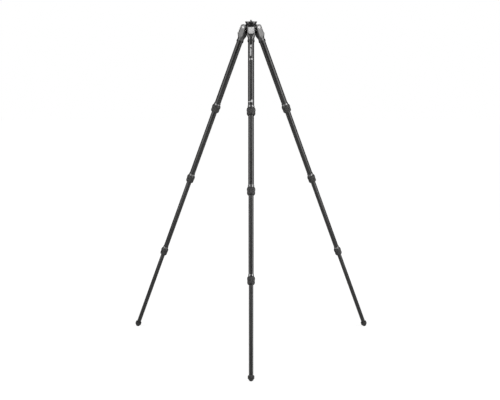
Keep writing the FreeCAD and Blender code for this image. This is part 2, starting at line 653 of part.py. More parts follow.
def foot():
    """Rubber foot on a threaded stud that screws into the lowest tube's plug."""
    top = FOOT_REACH - FOOT_HEIGHT
    side = [Vector(0, 0, -top)] + [Vector(radius, 0, -top - below) for radius, below in FOOT_SIDE]
    edge = tip_point(FOOT_TIP_EDGE_ANGLE)
    tip = tip_point(0.0)
    outline = Part.makePolygon([tip] + side + [edge]).Edges
    outline.append(Part.Arc(edge, tip_point(FOOT_TIP_EDGE_ANGLE / 2), tip).toShape())
    rubber = Part.Face(Part.Wire(outline)).revolve(ORIGIN, Z_AXIS, 360)
    above = (0, 0, -top + CUT_PAST)
    socket = cylinder(tube_radius(4) + RUNNING_GAP, above, (0, 0, -top - FOOT_SOCKET_DEPTH - 0.1))
    stud_bottom = -top - FOOT_STUD_BOTTOM
    hole = cylinder(FOOT_STUD_RADIUS + FIXED_GAP, above, (0, 0, stud_bottom - 0.1))
    stud = cylinder(FOOT_STUD_RADIUS, (0, 0, stud_bottom + FOOT_STUD_LENGTH), (0, 0, stud_bottom))
    return Part.makeCompound([rubber.cut(socket).cut(hole), stud])


def tip_point(angle):
    """A point of the foot's ball-shaped tip, by its angle from the leg's axis."""
    turn = math.radians(angle)
    centre = FOOT_REACH - FOOT_TIP_RADIUS
    return Vector(FOOT_TIP_RADIUS * math.sin(turn), 0, -centre - FOOT_TIP_RADIUS * math.cos(turn))


# ---- clamp knob and weight hook under the hub ----


def clamp_knob():
    """Bolt that pulls the platform down into the hub, with a fluted knob and an eye for the hook."""
    knob = turned([
        (0, KNOB_TOP), (KNOB_RADIUS - KNOB_BEVEL, KNOB_TOP), (KNOB_RADIUS, KNOB_TOP - KNOB_BEVEL),
        (KNOB_RADIUS, KNOB_BOTTOM + 1.5), (KNOB_RADIUS - 1.5, KNOB_BOTTOM), (0, KNOB_BOTTOM),
    ])
    for k in range(KNOB_FLUTES):
        turn = 2 * math.pi * k / KNOB_FLUTES
        x, y = KNOB_FLUTE_CIRCLE * math.cos(turn), KNOB_FLUTE_CIRCLE * math.sin(turn)
        flute = cylinder(KNOB_FLUTE_RADIUS, (x, y, KNOB_TOP + CUT_PAST), (x, y, KNOB_BOTTOM - CUT_PAST))
        knob = knob.cut(flute)
    bolt = cylinder(BOLT_RADIUS, (0, 0, KNOB_TOP - 1), (0, 0, -STUD_DEPTH - 2.5))
    eye = side_prism(
        [(EYE_HALF_WIDTH, KNOB_BOTTOM + 1, 0), (EYE_HALF_WIDTH, EYE_BOTTOM, EYE_CORNER),
         (-EYE_HALF_WIDTH, EYE_BOTTOM, EYE_CORNER), (-EYE_HALF_WIDTH, KNOB_BOTTOM + 1, 0)],
        EYE_HALF_THICKNESS,
    )
    pin_hole = cylinder(HOOK_WIRE + RUNNING_GAP, (-20, 0, HOOK_Z), (20, 0, HOOK_Z))
    return knob.fuse(bolt).fuse(around(eye, 90)).cut(pin_hole).removeSplitter()


def weight_hook():
    """Wire ring through the knob's eye, to hang a bag from."""
    low = HOOK_Z - HOOK_DROP
    ring = cylinder(HOOK_WIRE, (-HOOK_HALF_WIDTH, 0, HOOK_Z), (HOOK_HALF_WIDTH, 0, HOOK_Z))
    for side in (-1, 1):
        x = side * HOOK_HALF_WIDTH
        ring = ring.fuse(Part.makeSphere(HOOK_WIRE, Vector(x, 0, HOOK_Z)))
        ring = ring.fuse(cylinder(HOOK_WIRE, (x, 0, HOOK_Z), (x, 0, low)))
    bow = Part.makeTorus(HOOK_HALF_WIDTH, HOOK_WIRE, Vector(0, 0, low), Y_AXIS)
    lower_half = box((-20, -20, low - 20), (20, 20, low))
    return ring.fuse(bow.common(lower_half)).removeSplitter()


# ---- export ----


def export(name, shape):
    shape.exportStep(os.path.join("parts", name + ".step"))


def export_leg(side, azimuth):
    """Writes the 17 pieces of one leg, each in its place on the tripod."""
    placement = leg_placement(azimuth)
    pieces = {"casting": casting(), "angle_tab": angle_tab(), "tab_spring": tab_spring(), "foot": foot()}
    for section in range(1, len(TUBE_DIAMETERS) + 1):
        pieces[f"tube_{section}"] = tube(section)
        if section > 1:
            pieces[f"tube_{section}_shims"] = shims(section)
    for lock in range(1, len(LOCK_REACHES) + 1):
        pieces[f"lock_{lock}_sleeve"] = lock_sleeve(lock)
        pieces[f"lock_{lock}_collar"] = lock_collar(lock)
    for name, shape in pieces.items():
        export(f"{side}_{name}", placed(shape, placement))


def main():
    os.makedirs("parts", exist_ok=True)
    middle_pieces = (
        hub, platform, head_stud, grub_screws, bubble_level,
        pivot_bolts, pivot_bushes, clamp_knob, weight_hook,
    )
    for make in middle_pieces:
        export(make.__name__, make())
    for side, azimuth in LEG_AZIMUTHS.items():
        export_leg(side, azimuth)


main()
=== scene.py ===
"""Looks of a columnless carbon tripod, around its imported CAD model.

Frame: metres, +Z up, origin at the centre of the platform's top face. Each leg also has its own frame,
with the origin on its pivot, X outward and Z up along the leg.
"""

import json
import math

import bpy
import numpy as np
from mathutils import Matrix, Vector


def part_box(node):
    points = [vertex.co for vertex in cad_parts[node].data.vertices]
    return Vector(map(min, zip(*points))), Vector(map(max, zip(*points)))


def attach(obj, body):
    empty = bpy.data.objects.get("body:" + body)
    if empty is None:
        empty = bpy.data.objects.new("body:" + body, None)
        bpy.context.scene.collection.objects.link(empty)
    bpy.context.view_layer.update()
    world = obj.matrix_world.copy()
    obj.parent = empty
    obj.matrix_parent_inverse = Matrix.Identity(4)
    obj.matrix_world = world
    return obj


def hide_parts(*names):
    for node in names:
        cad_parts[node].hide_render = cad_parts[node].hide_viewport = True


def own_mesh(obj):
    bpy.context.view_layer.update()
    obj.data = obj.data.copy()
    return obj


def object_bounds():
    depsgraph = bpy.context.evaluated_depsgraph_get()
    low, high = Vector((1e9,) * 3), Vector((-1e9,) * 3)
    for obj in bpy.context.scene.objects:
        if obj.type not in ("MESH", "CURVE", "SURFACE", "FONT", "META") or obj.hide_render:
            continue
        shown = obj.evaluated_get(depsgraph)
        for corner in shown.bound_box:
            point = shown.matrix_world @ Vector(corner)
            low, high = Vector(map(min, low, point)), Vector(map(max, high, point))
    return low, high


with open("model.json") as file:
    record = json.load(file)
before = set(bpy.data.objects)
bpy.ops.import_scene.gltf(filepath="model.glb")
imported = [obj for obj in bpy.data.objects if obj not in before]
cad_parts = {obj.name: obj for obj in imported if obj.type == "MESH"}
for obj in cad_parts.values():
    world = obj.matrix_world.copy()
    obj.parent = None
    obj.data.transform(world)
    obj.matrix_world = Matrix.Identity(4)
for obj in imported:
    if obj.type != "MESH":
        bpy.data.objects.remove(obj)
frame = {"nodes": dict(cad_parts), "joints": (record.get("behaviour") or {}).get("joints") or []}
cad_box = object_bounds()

MM = 0.001
TURN = 2 * math.pi
SIDES = ("front", "right", "left")
LOCKS = (1, 2, 3)  # top to bottom, as the sections are
SECTIONS = (1, 2, 3, 4)
BODIES = ("leg", "section_2", "section_3", "section_4")  # what the tube of each section rides on
JOINTS = {joint["name"]: joint for joint in frame["joints"]}

# ---- sizes of the details: lengths are in metres where MM is written, and otherwise in millimetres ----

SEGMENTS = 96  # round a plain turned piece
EDGE = 0.3 * MM  # eased corner of a turned piece
BEVEL = 0.35 * MM  # widest eased edge of a carried-over piece, see dress
CASTING_BEVEL = 0.7 * MM
SCREW_BEVEL = 0.1 * MM
BEVEL_FROM = 38.0  # degrees between two faces from which their edge is eased
FLAT_WITHIN = 0.5  # degrees within which two faces are taken as one
WELD_WITHIN = 0.002 * MM
TOW = 2.6 * MM  # width of one carbon tow
NEAR = 0.1 * MM  # corners this close to a radius are taken to lie on it

# twist lock: heights from the lock's centre, radii over the radius of the tube above it
NUT_OUTLINE = (  # the part of the nut outside the grip, low to high
    (5.0, -16.5), (5.0, -15.5), (3.4, -15.5), (3.4, 16.5), (5.3, 16.5), (5.3, 17.5), (3.4, 20.0),
)
NUT_BORE = 1.5
NUT_SHOULDER = -14.3  # height where the bore closes in to the lip
NUT_LIP = 0.35  # the low end's inner radius, over the tube below
NUT_FOOT = 3.8  # the low end's outer radius, over the tube below
GRIP_INNER = 3.41
GRIP_OUTLINE = ((5.2, -15.5), (6.3, -9.0), (5.6, -1.5), (7.1, 8.0), (6.6, 13.0), (5.5, 16.5))
GRIP_STEP = 1.2  # between rows of the grip's surface
GRIP_RIBS = 36
RIB_SEGMENTS = 8
RIB_DEPTH = 0.6
RIB_SHARPNESS = 3  # the higher, the narrower the grooves between the ribs
RIB_FADE = 4.0  # over which the ribs run out at a grip's ends
SLEEVE_BORE = 0.02
SLEEVE_THREAD = (1.4, -10.0, 20.5)  # radius, low end, high end
SLEEVE_RING = 1.5
SLEEVE_EDGE = 0.15
SLEEVE_LINES = (22.4, 23.6, 24.8)  # turned lines round the sleeve
SLEEVE_LINE_DEPTH = 0.35
SLEEVE_LINE_HALF = 0.25
COLLET_GRIP = 0.05  # the collet's inner radius, over the tube below
COLLET_OUTLINE = ((0.2, -14.0), (1.3, -10.3), (-0.05, -10.3), (-0.05, -3.0))
COLLET_SLIT = 1.5

# foot: radius, and height from the top of the rubber, low to high
FOOT_SIDE = ((12.4, -19.5), (15.4, -17.0), (16.5, -14.5), (16.5, -3.5), (15.6, -1.2), (13.4, 0.0))
FOOT_HEIGHT = 29.0
FOOT_SOCKET = -6.1  # floor of the socket for the lowest tube
FOOT_SOCKET_GAP = 0.05
FOOT_HOLE_GAP = 0.02  # round the stud
FOOT_STUD_RADIUS = 4.7
FOOT_STUD_ENDS = (-18.0, 16.0)
FOOT_STUD_SEGMENTS = 48
FOOT_BALL_RADIUS = 14.0
FOOT_BALL_ANGLE = 48.0  # degrees from the tip to the ball's edge
FOOT_BALL_STEPS = 12
FOOT_TREAD_STEPS = 3  # steps from one tread groove to the next
FOOT_TREAD_DEPTH = 0.5
FOOT_FLUTES = 24
FOOT_FLUTE_SEGMENTS = 6
FOOT_FLUTE_ROWS = 6
FOOT_FLUTE_DEPTH = 0.9
FOOT_FLUTE_SHARPNESS = 2
FOOT_FLUTE_RISE = 4  # how quickly a flute reaches its full depth from its ends
FOOT_FLUTE_INNER = 13.0  # nothing inside this radius is fluted

THREAD_PITCH = 1.5875 * MM  # 16 threads to the inch
THREAD_DEPTH = 0.8 * MM
THREAD_SEGMENTS = 48
THREAD_ROWS = 10  # rows of corners in one pitch
THREAD_START = -0.4 * MM  # height of the thread's low end
STUD_SHANK_INSET = 0.3 * MM
STUD_CHAMFER = 1.0 * MM
STUD_SOCKET = 2.0 * MM  # half across the flats
STUD_SOCKET_SIDES = 6
STUD_SOCKET_DEPTH = 3.5 * MM
SPRING_TURNS = 5
SPRING_WIRE = 0.45 * MM

LEVEL_CASE_WALL = 0.9 * MM
LEVEL_CASE_EDGE = 0.15 * MM
LEVEL_VIAL_FLOOR = 0.3 * MM
LEVEL_VIAL_GAP = 0.05 * MM
LEVEL_DOME_HEIGHT = 0.7 * MM
LEVEL_DOME_SINK = 0.9 * MM  # of the dome's foot under the case's top
LEVEL_DOME_SHARE = 0.99  # of the case's bore that the dome fills
LEVEL_BUBBLE_RADIUS = 1.5 * MM
LEVEL_BUBBLE_HALF = 0.3 * MM
LEVEL_BUBBLE_SINK = 0.35 * MM  # of the bubble's middle under the case's top
LEVEL_STEPS = 8
LEVEL_SEGMENTS = 48

END_RING = 74.0  # where the casting's black end ring starts, down the leg

# marks printed on the outer face of the front leg's top tube, in millimetres:
# place across the face, place down the leg, half width, half height
PRINTED_MARKS = (
    (-1.2, 113.5, 5.2, 7.4), (-2.0, 147.5, 3.6, 20.5), (-7.6, 186.5, 3.0, 4.4), (4.2, 186.5, 4.4, 4.4),
    (-4.5, 420.5, 13.0, 2.0), (-7.8, 421.5, 3.0, 3.4), (4.4, 418.0, 5.0, 6.0),
)

# ---- camera, floor and lights, in metres ----

CAMERA_DISTANCE = 6.2175
CAMERA_ABOVE_FLOOR = 1.5869
CAMERA_PITCH = 7.36  # degrees down
CAMERA_LENS = 83.96  # millimetres
CAMERA_SHIFT_X = -0.00214  # in widths of the picture
CAMERA_SIGHT = 50.0
FLOOR_HALF = 20.0
FLOOR_GAP = 0.2 * MM  # under the lowest foot
AMBIENT = 0.03  # what the object sees of the white studio, where 1 is the white of the background
LIGHTS = (  # name, place, target, size, and glow, where 1 is as bright as the background
    ("softbox_left", (-2.75, -1.5, 0.2), (0.0, 0.0, -0.87), (3.0, 4.6), 2.45),
    ("softbox_right", (2.75, -1.5, 0.2), (0.0, 0.0, -0.87), (3.0, 4.6), 3.25),
    ("softbox_front", (0.0, -2.0, 2.3), (0.0, 0.0, 0.0), (1.4, 2.2), 0.42),
)


# ---- node trees ----


class Nodes:
    """Short calls that add nodes to one material."""

    def __init__(self, name):
        self.material = bpy.data.materials.new(name)
        self.material.use_nodes = True
        self.tree = self.material.node_tree
        self.shader = self.tree.nodes["Principled BSDF"]

    def add(self, kind, *values, output=0, **settings):
        """Adds a node; values go to its inputs in order, None leaves one alone. Returns the chosen output."""
        node = self.tree.nodes.new("ShaderNode" + kind)
        for key, value in settings.items():
            setattr(node, key, value)
        for socket, value in zip(node.inputs, values):
            self.put(value, socket)
        return node.outputs[output]

    def put(self, value, socket):
        """Links an output to a socket, or sets its value; None leaves it alone."""
        if isinstance(value, bpy.types.NodeSocket):
            self.tree.links.new(value, socket)
        elif value is not None:
            socket.default_value = value

    def math(self, operation, a, b=None):
        return self.add("Math", a, b, operation=operation)

    def mix(self, share, a, b):
        """Blends two colours, or two numbers."""
        kind = "Color" if isinstance(a, tuple) or isinstance(b, tuple) else "Float"
        node = self.tree.nodes.new("ShaderNodeMix")
        node.data_type = "RGBA" if kind == "Color" else "FLOAT"
        inputs = {socket.identifier: socket for socket in node.inputs}
        self.put(share, node.inputs["Factor"])
        self.put(a, inputs["A_" + kind])
        self.put(b, inputs["B_" + kind])
        outputs = {socket.identifier: socket for socket in node.outputs}
        return outputs["Result_" + kind]

    def ramp(self, value, low, high):
        """0 at low and beyond it, 1 at high and beyond it, straight in between."""
        return self.add("MapRange", value, low, high, 0.0, 1.0)

    def own(self):
        """The point in the piece's own frame: its leg's, or the tripod's for the pieces in the middle."""
        return self.add("Attribute", output=1, attribute_name="own")

    def own_parts(self):
        """X, Y and Z of the point in the piece's own frame."""
        parts = self.tree.nodes.new("ShaderNodeSeparateXYZ")
        self.put(self.own(), parts.inputs[0])
        return parts.outputs

    def noise(self, scale, detail=3.0, vector=None):
        return self.add("TexNoise", vector or self.own(), None, scale, detail)

    def stretched(self, scales, vector=None):
        """Coordinates scaled unevenly, for grain that runs one way."""
        return self.add("Mapping", vector or self.own(), None, None, scales)

    def edges(self, width):
        """1 at edges and 0 on flat faces, for edges painted lighter: as wear, and on metal and plastic also
        as a painted highlight.
        """
        bevelled = self.add("Bevel", width, samples=4)
        true_normal = self.add("NewGeometry", output=1)
        closeness = self.add("VectorMath", bevelled, true_normal, operation="DOT_PRODUCT", output=1)
        return self.ramp(closeness, 0.995, 0.85)

    def turning_lines(self, fineness):
        """Noise that only changes along a turned outline, as a lathe tool leaves it."""
        x, y, z = self.own_parts()
        radius = self.math("SQRT", self.math("ADD", self.math("MULTIPLY", x, x), self.math("MULTIPLY", y, y)))
        along = self.math("MULTIPLY", self.math("ADD", radius, z), fineness)
        return self.noise(1.0, 2.0, self.add("CombineXYZ", along, 0.0, 0.0))

    def bump(self, height, strength, distance):
        node = self.tree.nodes.new("ShaderNodeBump")
        node.inputs["Strength"].default_value = strength
        node.inputs["Distance"].default_value = distance
        self.put(height, node.inputs["Height"])
        return node.outputs["Normal"]

    def set(self, **inputs):
        """Sets the shader's inputs by name, with _ for a space."""
        for name, value in inputs.items():
            self.put(value, self.shader.inputs[name.replace("_", " ")])
        return self.material


def colour(grey, warmth=0.0):
    return (grey * (1 + warmth), grey, grey * (1 - warmth), 1.0)


# ---- materials ----


def worn_metal_with_edge_highlight(name, base, roughness, edge_grey, metallic=0.9, lathe_lines=0.0, black_from=math.inf):
    """Anodised or blasted metal: fine grain, uneven sheen, and edges painted lighter, partly as wear and
    partly as a painted highlight.

    From black_from down the leg it is black plastic.
    """
    n = Nodes(name)
    patches = n.noise(35.0, 4.0)
    # Edges painted lighter in patches: partly wear, partly a painted highlight where a rounded edge would
    # catch the light.
    edge_wear_and_highlight = n.math("MULTIPLY", n.edges(0.5 * MM), n.ramp(n.noise(160.0, 4.0), 0.3, 0.6))
    black = 0.0
    if black_from < math.inf:
        black = n.math("LESS_THAN", n.own_parts()["Z"], -black_from)
    tint = n.mix(black, n.mix(patches, colour(base * 0.8), colour(base * 1.2, 0.01)), colour(0.015))
    grain = n.mix(lathe_lines, n.noise(3600.0, 2.0), n.turning_lines(5000.0))
    return n.set(
        Base_Color=n.mix(edge_wear_and_highlight, tint, colour(edge_grey)),
        Metallic=n.mix(black, metallic, 0.0),
        Roughness=n.mix(patches, roughness - 0.05, roughness + 0.08),
        Normal=n.bump(grain, 0.3, 0.05 * MM),
    )


def twill(n, u, v):
    """Two-by-two twill, u tows round and v tows along.

    Gives 1 where the warp is on top, the squared distance from the top tow's middle, and the fibres.
    """
    warp_side = n.math("SUBTRACT", n.math("FRACT", u), 0.5)
    weft_side = n.math("SUBTRACT", n.math("FRACT", v), 0.5)
    step = n.math("ADD", n.math("FLOOR", u), n.math("FLOOR", v))
    warp = n.math("LESS_THAN", n.math("FLOORED_MODULO", step, 4.0), 1.5)
    crown = n.mix(warp, n.math("MULTIPLY", weft_side, weft_side), n.math("MULTIPLY", warp_side, warp_side))
    cloth = n.add("CombineXYZ", u, v, 0.0)
    fibres = n.mix(
        warp, n.noise(1.0, 2.0, n.stretched((0.6, 14.0, 1.0), cloth)),
        n.noise(1.0, 2.0, n.stretched((14.0, 0.6, 1.0), cloth)),
    )
    return warp, crown, fibres


def carbon(name, radius, marks=()):
    """Clear-coated twill round a tube of this radius, with printed marks."""
    n = Nodes(name)
    x, y, z = n.own_parts()
    angle = n.math("ARCTAN2", y, x)
    tows = 4 * round(TURN * radius / TOW / 4)
    warp, crown, fibres = twill(n, n.math("MULTIPLY", angle, tows / TURN), n.math("DIVIDE", z, TOW))
    # Painted sheen: warp tows painted lighter than weft tows, and each tow lighter at its crown and darker
    # towards its edges, with the fibres' own streaks.
    fibres_and_painted_sheen = n.math("MULTIPLY", n.mix(warp, 0.45, 1.0), n.mix(fibres, 0.5, 1.5))
    fibres_and_painted_sheen = n.math("MULTIPLY", fibres_and_painted_sheen, n.math("SUBTRACT", 1.1, n.math("MULTIPLY", crown, 2.4)))
    tint = n.mix(fibres_and_painted_sheen, colour(0.001), colour(0.018, 0.02))
    ink = printed(n, n.math("MULTIPLY", angle, radius), z, marks)
    scuffs = n.noise(60.0, 5.0)
    flecks = n.ramp(n.noise(230.0, 2.0), 0.4, 0.6)
    return n.set(
        Base_Color=n.mix(ink, tint, colour(0.5)),
        Roughness=n.mix(ink, n.mix(warp, 0.5, 0.34), 0.5),
        Normal=n.bump(n.math("SUBTRACT", n.math("MULTIPLY", fibres, 0.2), crown), 0.35, 0.1 * MM),
        Specular_IOR_Level=0.12,
        Coat_Weight=n.mix(ink, n.mix(flecks, 0.7, 1.0), 0.5),
        Coat_Roughness=n.mix(scuffs, 0.08, 0.18),
    )


def printed(n, across, height, marks):
    """1 where a rectangular mark is printed and 0 elsewhere, with slightly chipped edges."""
    if not marks:
        return 0.0
    ink = 0.0
    chips = n.math("MULTIPLY", n.math("SUBTRACT", n.noise(900.0, 3.0), 0.5), 0.12)
    for side, down, half_width, half_height in marks:
        dx = n.math("ABSOLUTE", n.math("SUBTRACT", across, side * MM))
        dz = n.math("ABSOLUTE", n.math("ADD", height, down * MM))
        reach = n.math(
            "MAXIMUM", n.math("DIVIDE", dx, half_width * MM), n.math("DIVIDE", dz, half_height * MM)
        )
        ink = n.math("MAXIMUM", ink, n.math("LESS_THAN", n.math("ADD", reach, chips), 1.0))
    return ink


def rubber(name):
    """Moulded black rubber: fine pores, faint bloom and paler rubbed edges."""
    n = Nodes(name)
    base = 0.018
    bloom = n.noise(45.0, 5.0)
    rubbed = n.math("MULTIPLY", n.edges(0.6 * MM), n.noise(220.0, 3.0))
    tint = n.mix(bloom, colour(base * 0.7), colour(base * 1.6, 0.04))
    return n.set(
        Base_Color=n.mix(n.math("MULTIPLY", rubbed, 0.5), tint, colour(0.08)),
        Roughness=n.mix(bloom, 0.36, 0.55),
        Specular_IOR_Level=0.5,
        Normal=n.bump(n.noise(2600.0, 3.0), 0.3, 0.05 * MM),
    )


def bright_metal(name, base, roughness, grain, metallic=1.0):
    """Bare or clear-anodised metal. grain(n) gives the fine marks that its making left."""
    n = Nodes(name)
    lines = grain(n)
    smears = n.noise(70.0, 4.0)
    # Every edge painted evenly lighter: a painted highlight where a rounded edge would catch the light, with
    # some wear.
    edge_wear_and_highlight = n.math("MULTIPLY", n.edges(0.4 * MM), 0.7)
    tint = n.mix(smears, colour(base * 0.85), colour(base * 1.05, 0.01))
    return n.set(
        Base_Color=n.mix(edge_wear_and_highlight, tint, colour(0.8)),
        Metallic=metallic,
        Roughness=n.mix(lines, roughness - 0.06, roughness + 0.14),
        Normal=n.bump(lines, 0.25, 0.04 * MM),
    )


def bearing_plastic(name):
    """Natural acetal: waxy, faintly mottled."""
    n = Nodes(name)
    mottle = n.noise(120.0, 4.0)
    return n.set(
        Base_Color=n.mix(mottle, (0.6, 0.58, 0.5, 1.0), (0.72, 0.7, 0.63, 1.0)),
        Roughness=n.mix(mottle, 0.35, 0.5),
        Subsurface_Weight=0.15,
        Subsurface_Scale=1.0 * MM,
        Normal=n.bump(n.noise(1500.0, 2.0), 0.15, 0.03 * MM),
    )


def nut_plastic(name):
    """Glass-filled black plastic of the lock nuts."""
    n = Nodes(name)
    flow = n.noise(60.0, 5.0)
    # Every edge painted evenly lighter: a painted highlight where a rounded edge would catch the light, with
    # some wear.
    edge_wear_and_highlight = n.math("MULTIPLY", n.edges(0.4 * MM), 0.5)
    return n.set(
        Base_Color=n.mix(edge_wear_and_highlight, n.mix(flow, colour(0.010), colour(0.026)), colour(0.12)),
        Roughness=n.mix(flow, 0.35, 0.5),
        Normal=n.bump(n.noise(1800.0, 3.0), 0.3, 0.05 * MM),
    )


def level_liquid(name):
    """Yellow-green spirit under a clear window."""
    n = Nodes(name)
    return n.set(
        Base_Color=n.mix(n.noise(300.0), (0.42, 0.7, 0.06, 1.0), (0.55, 0.82, 0.12, 1.0)),
        Roughness=n.mix(n.noise(500.0), 0.03, 0.1),
        Transmission_Weight=0.3,
        IOR=1.36,
        Coat_Weight=1.0,
        Coat_Roughness=0.03,
    )


def white_floor(name):
    """White paper that looks as bright as the background to the camera, or a little darker under a foot."""
    n = Nodes(name)
    place = n.add("TexCoord", output=3)
    fibres = n.noise(3.0, 5.0, place)
    far = n.ramp(n.add("VectorMath", place, output=1, operation="LENGTH"), 1.0, 2.2)
    seen = n.add("LightPath")
    paper = n.mix(fibres, colour(0.86), colour(0.9))
    paper_behind_glow = n.mix(fibres, colour(0.2), colour(0.22))
    return n.set(
        Base_Color=n.mix(seen, paper, paper_behind_glow),
        Roughness=0.9,
        Specular_IOR_Level=0.1,
        Emission_Color=colour(1.0),
        Emission_Strength=n.math("MULTIPLY", seen, n.mix(far, 0.9, 1.0)),
        Normal=n.bump(fibres, 0.02, 0.2 * MM),
    )


# ---- the leg frames and what the CAD says about each piece ----


def leg_matrix(side):
    """Leg frame to row frame: origin on the pivot, X outward, Z up along the leg."""
    spread = JOINTS[f"{side}_leg_spread"]
    up = Vector(JOINTS[f"{side}_section_2_slide"]["axis"]).normalized()
    across = -Vector(spread["axis"]).normalized()
    turn = Matrix((across.cross(up), across, up)).transposed()
    return Matrix.Translation(spread["pos_m"]) @ turn.to_4x4()


LEG_FRAMES = {side: leg_matrix(side) for side in SIDES}


def own_points(node, matrix):
    """The corners of a CAD node in the frame that the matrix carries to the row frame."""
    mesh = frame["nodes"][node].data
    points = np.empty(len(mesh.vertices) * 3)
    mesh.vertices.foreach_get("co", points)
    inverse = np.array(matrix.inverted())
    return points.reshape(-1, 3) @ inverse[:3, :3].T + inverse[:3, 3]


def leg_rings(side, node):
    """Radius about the leg's axis, and height, of every corner of a CAD node."""
    points = own_points(f"{side}_{node}", LEG_FRAMES[side])
    return np.hypot(points[:, 0], points[:, 1]), points[:, 2]


def tube_radius(side, section):
    return leg_rings(side, f"tube_{section}")[0].max()


def lock_height(side, lock):
    """Height of a lock's centre in the leg frame."""
    centre = LEG_FRAMES[side].inverted() @ Vector(JOINTS[f"{side}_lock_{lock}_twist"]["pos_m"])
    return centre.z


# ---- mesh helpers ----


def set_own(mesh, points):
    """Stores the corners' own-frame points for the materials."""
    layer = mesh.attributes.new("own", "FLOAT_VECTOR", "POINT")
    layer.data.foreach_set("vector", np.asarray(points, np.float32).ravel())


def make_piece(name, shape, material, body, matrix=None, sharp=35.0):
    """A piece from (vertices, faces) in its own frame, carried to its place and riding on a body."""
    vertices, faces = shape
    mesh = bpy.data.meshes.new(name)
    mesh.from_pydata(vertices, [], faces)
    set_own(mesh, vertices)
    mesh.transform(matrix or Matrix.Identity(4))
    mesh.shade_smooth()
    mesh.set_sharp_from_angle(angle=math.radians(sharp))
    mesh.materials.append(material)
    piece = bpy.data.objects.new(name, mesh)
    bpy.context.scene.collection.objects.link(piece)
    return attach(piece, body)


def stand_for(node, slot, *pieces):
    """Hides the CAD node that the pieces stand for, once for each piece. The slot is not used."""
    for piece in pieces:
        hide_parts(node)


def placed(outline, radius, height):
    """An outline in millimetres moved out by a radius and up by a height, in metres."""
    return [(radius + over * MM, height + up * MM) for over, up in outline]


def rounded(outline, radius=EDGE, steps=3):
    """A closed outline of (radius, height) points with its corners eased by short curves."""
    eased = []
    for i, point in enumerate(outline):
        here, back, ahead = Vector(point), Vector(outline[i - 1]), Vector(outline[(i + 1) % len(outline)])
        reach = min(radius, (back - here).length / 2.5, (ahead - here).length / 2.5)
        start = here + (back - here).normalized() * reach
        end = here + (ahead - here).normalized() * reach
        for k in range(steps + 1):
            t = k / steps
            eased.append(start * (1 - t) ** 2 + here * 2 * t * (1 - t) + end * t * t)
    return eased


def lathe(outline, segments=SEGMENTS, bend=None, slit=0.0):
    """An outline of (radius, height) points, low to high on the outside, turned about Z.

    A closed outline makes a ring; one that starts and ends on the axis makes a solid.
    bend(angle, radius, height) gives a new radius where the piece isn't round.
    A slit, in radians, leaves the ring open at +X.
    """
    solid = outline[0][0] == 0
    rows = outline[1:-1] if solid else outline
    count = len(rows)
    vertices, faces = [], []
    for j in range(segments + 1 if slit else segments):
        angle = slit / 2 + (TURN - slit) * j / segments
        for radius, height in rows:
            bent = bend(angle, radius, height) if bend else radius
            vertices.append((bent * math.cos(angle), bent * math.sin(angle), height))
    bottom, top = len(vertices), len(vertices) + 1
    for j in range(segments):
        here, there = j * count, (j + 1) * count % len(vertices)
        for i in range(count - 1 if solid else count):
            following = (i + 1) % count
            faces.append((here + i, there + i, there + following, here + following))
        if solid:
            faces.append((bottom, there, here))
            faces.append((top, here + count - 1, there + count - 1))
    if solid:
        vertices += [(0, 0, outline[0][1]), (0, 0, outline[-1][1])]
    if slit:
        faces += [tuple(range(count)), tuple(reversed(range(segments * count, (segments + 1) * count)))]
    return vertices, faces


def coil(radius, wire, turns, low, high, steps=28, sides=10):
    """A round wire wound about Z, with closed ends."""
    vertices, faces = [], []
    rings = turns * steps + 1
    for i in range(rings):
        turn = TURN * i / steps
        height = low + (high - low) * i / (rings - 1)
        for k in range(sides):
            around = TURN * k / sides
            out = radius + wire * math.cos(around)
            vertices.append((out * math.cos(turn), out * math.sin(turn), height + wire * math.sin(around)))
    for i in range(rings - 1):
        for k in range(sides):
            here, beside = i * sides + k, i * sides + (k + 1) % sides
            faces.append((here, here + sides, beside + sides, beside))
    faces.append(tuple(range(sides)))
    faces.append(tuple(reversed(range((rings - 1) * sides, rings * sides))))
    return vertices, faces


def smooth_outline(points, step):
    """Points on a smooth curve through (radius, height) points whose heights rise."""
    heights = [height for _, height in points]
    radii = [radius for radius, _ in points]
    slopes = np.gradient(radii, heights)
    curve = []
    for i in range(len(points) - 1):
        span = heights[i + 1] - heights[i]
        count = max(2, round(span / step))
        for k in range(count):
            t = k / count
            start = radii[i] * (1 + 2 * t) * (1 - t) ** 2 + slopes[i] * span * t * (1 - t) ** 2
            end = radii[i + 1] * t * t * (3 - 2 * t) - slopes[i + 1] * span * t * t * (1 - t)
            curve.append((start + end, heights[i] + span * t))
    return curve + [points[-1]]


def dress(node, material, bevel=BEVEL, matrix=None):
    """Gives a carried-over CAD node its material and eased edges. Thin sheet takes a bevel of 0.

    The clamp narrows a bevel until it doesn't overlap itself at a mesh's shortest edges. It leaves the edges
    of the hub, the clamp knob, the castings and the tabs almost sharp.
    """
    piece = frame["nodes"][node]
    piece.data.materials.clear()
    piece.data.materials.append(material)
    set_own(piece.data, own_points(node, matrix or Matrix.Identity(4)))
    if not bevel:
        return
    weld = piece.modifiers.new("weld", "WELD")
    weld.merge_threshold = WELD_WITHIN
    flats = piece.modifiers.new("flats", "DECIMATE")
    flats.decimate_type = "DISSOLVE"
    flats.angle_limit = math.radians(FLAT_WITHIN)
    ease = piece.modifiers.new("ease", "BEVEL")
    ease.width = bevel
    ease.segments = 2
    ease.angle_limit = math.radians(BEVEL_FROM)
    ease.harden_normals = True
    ease.use_clamp_overlap = True


# ---- camera, lights and floor ----


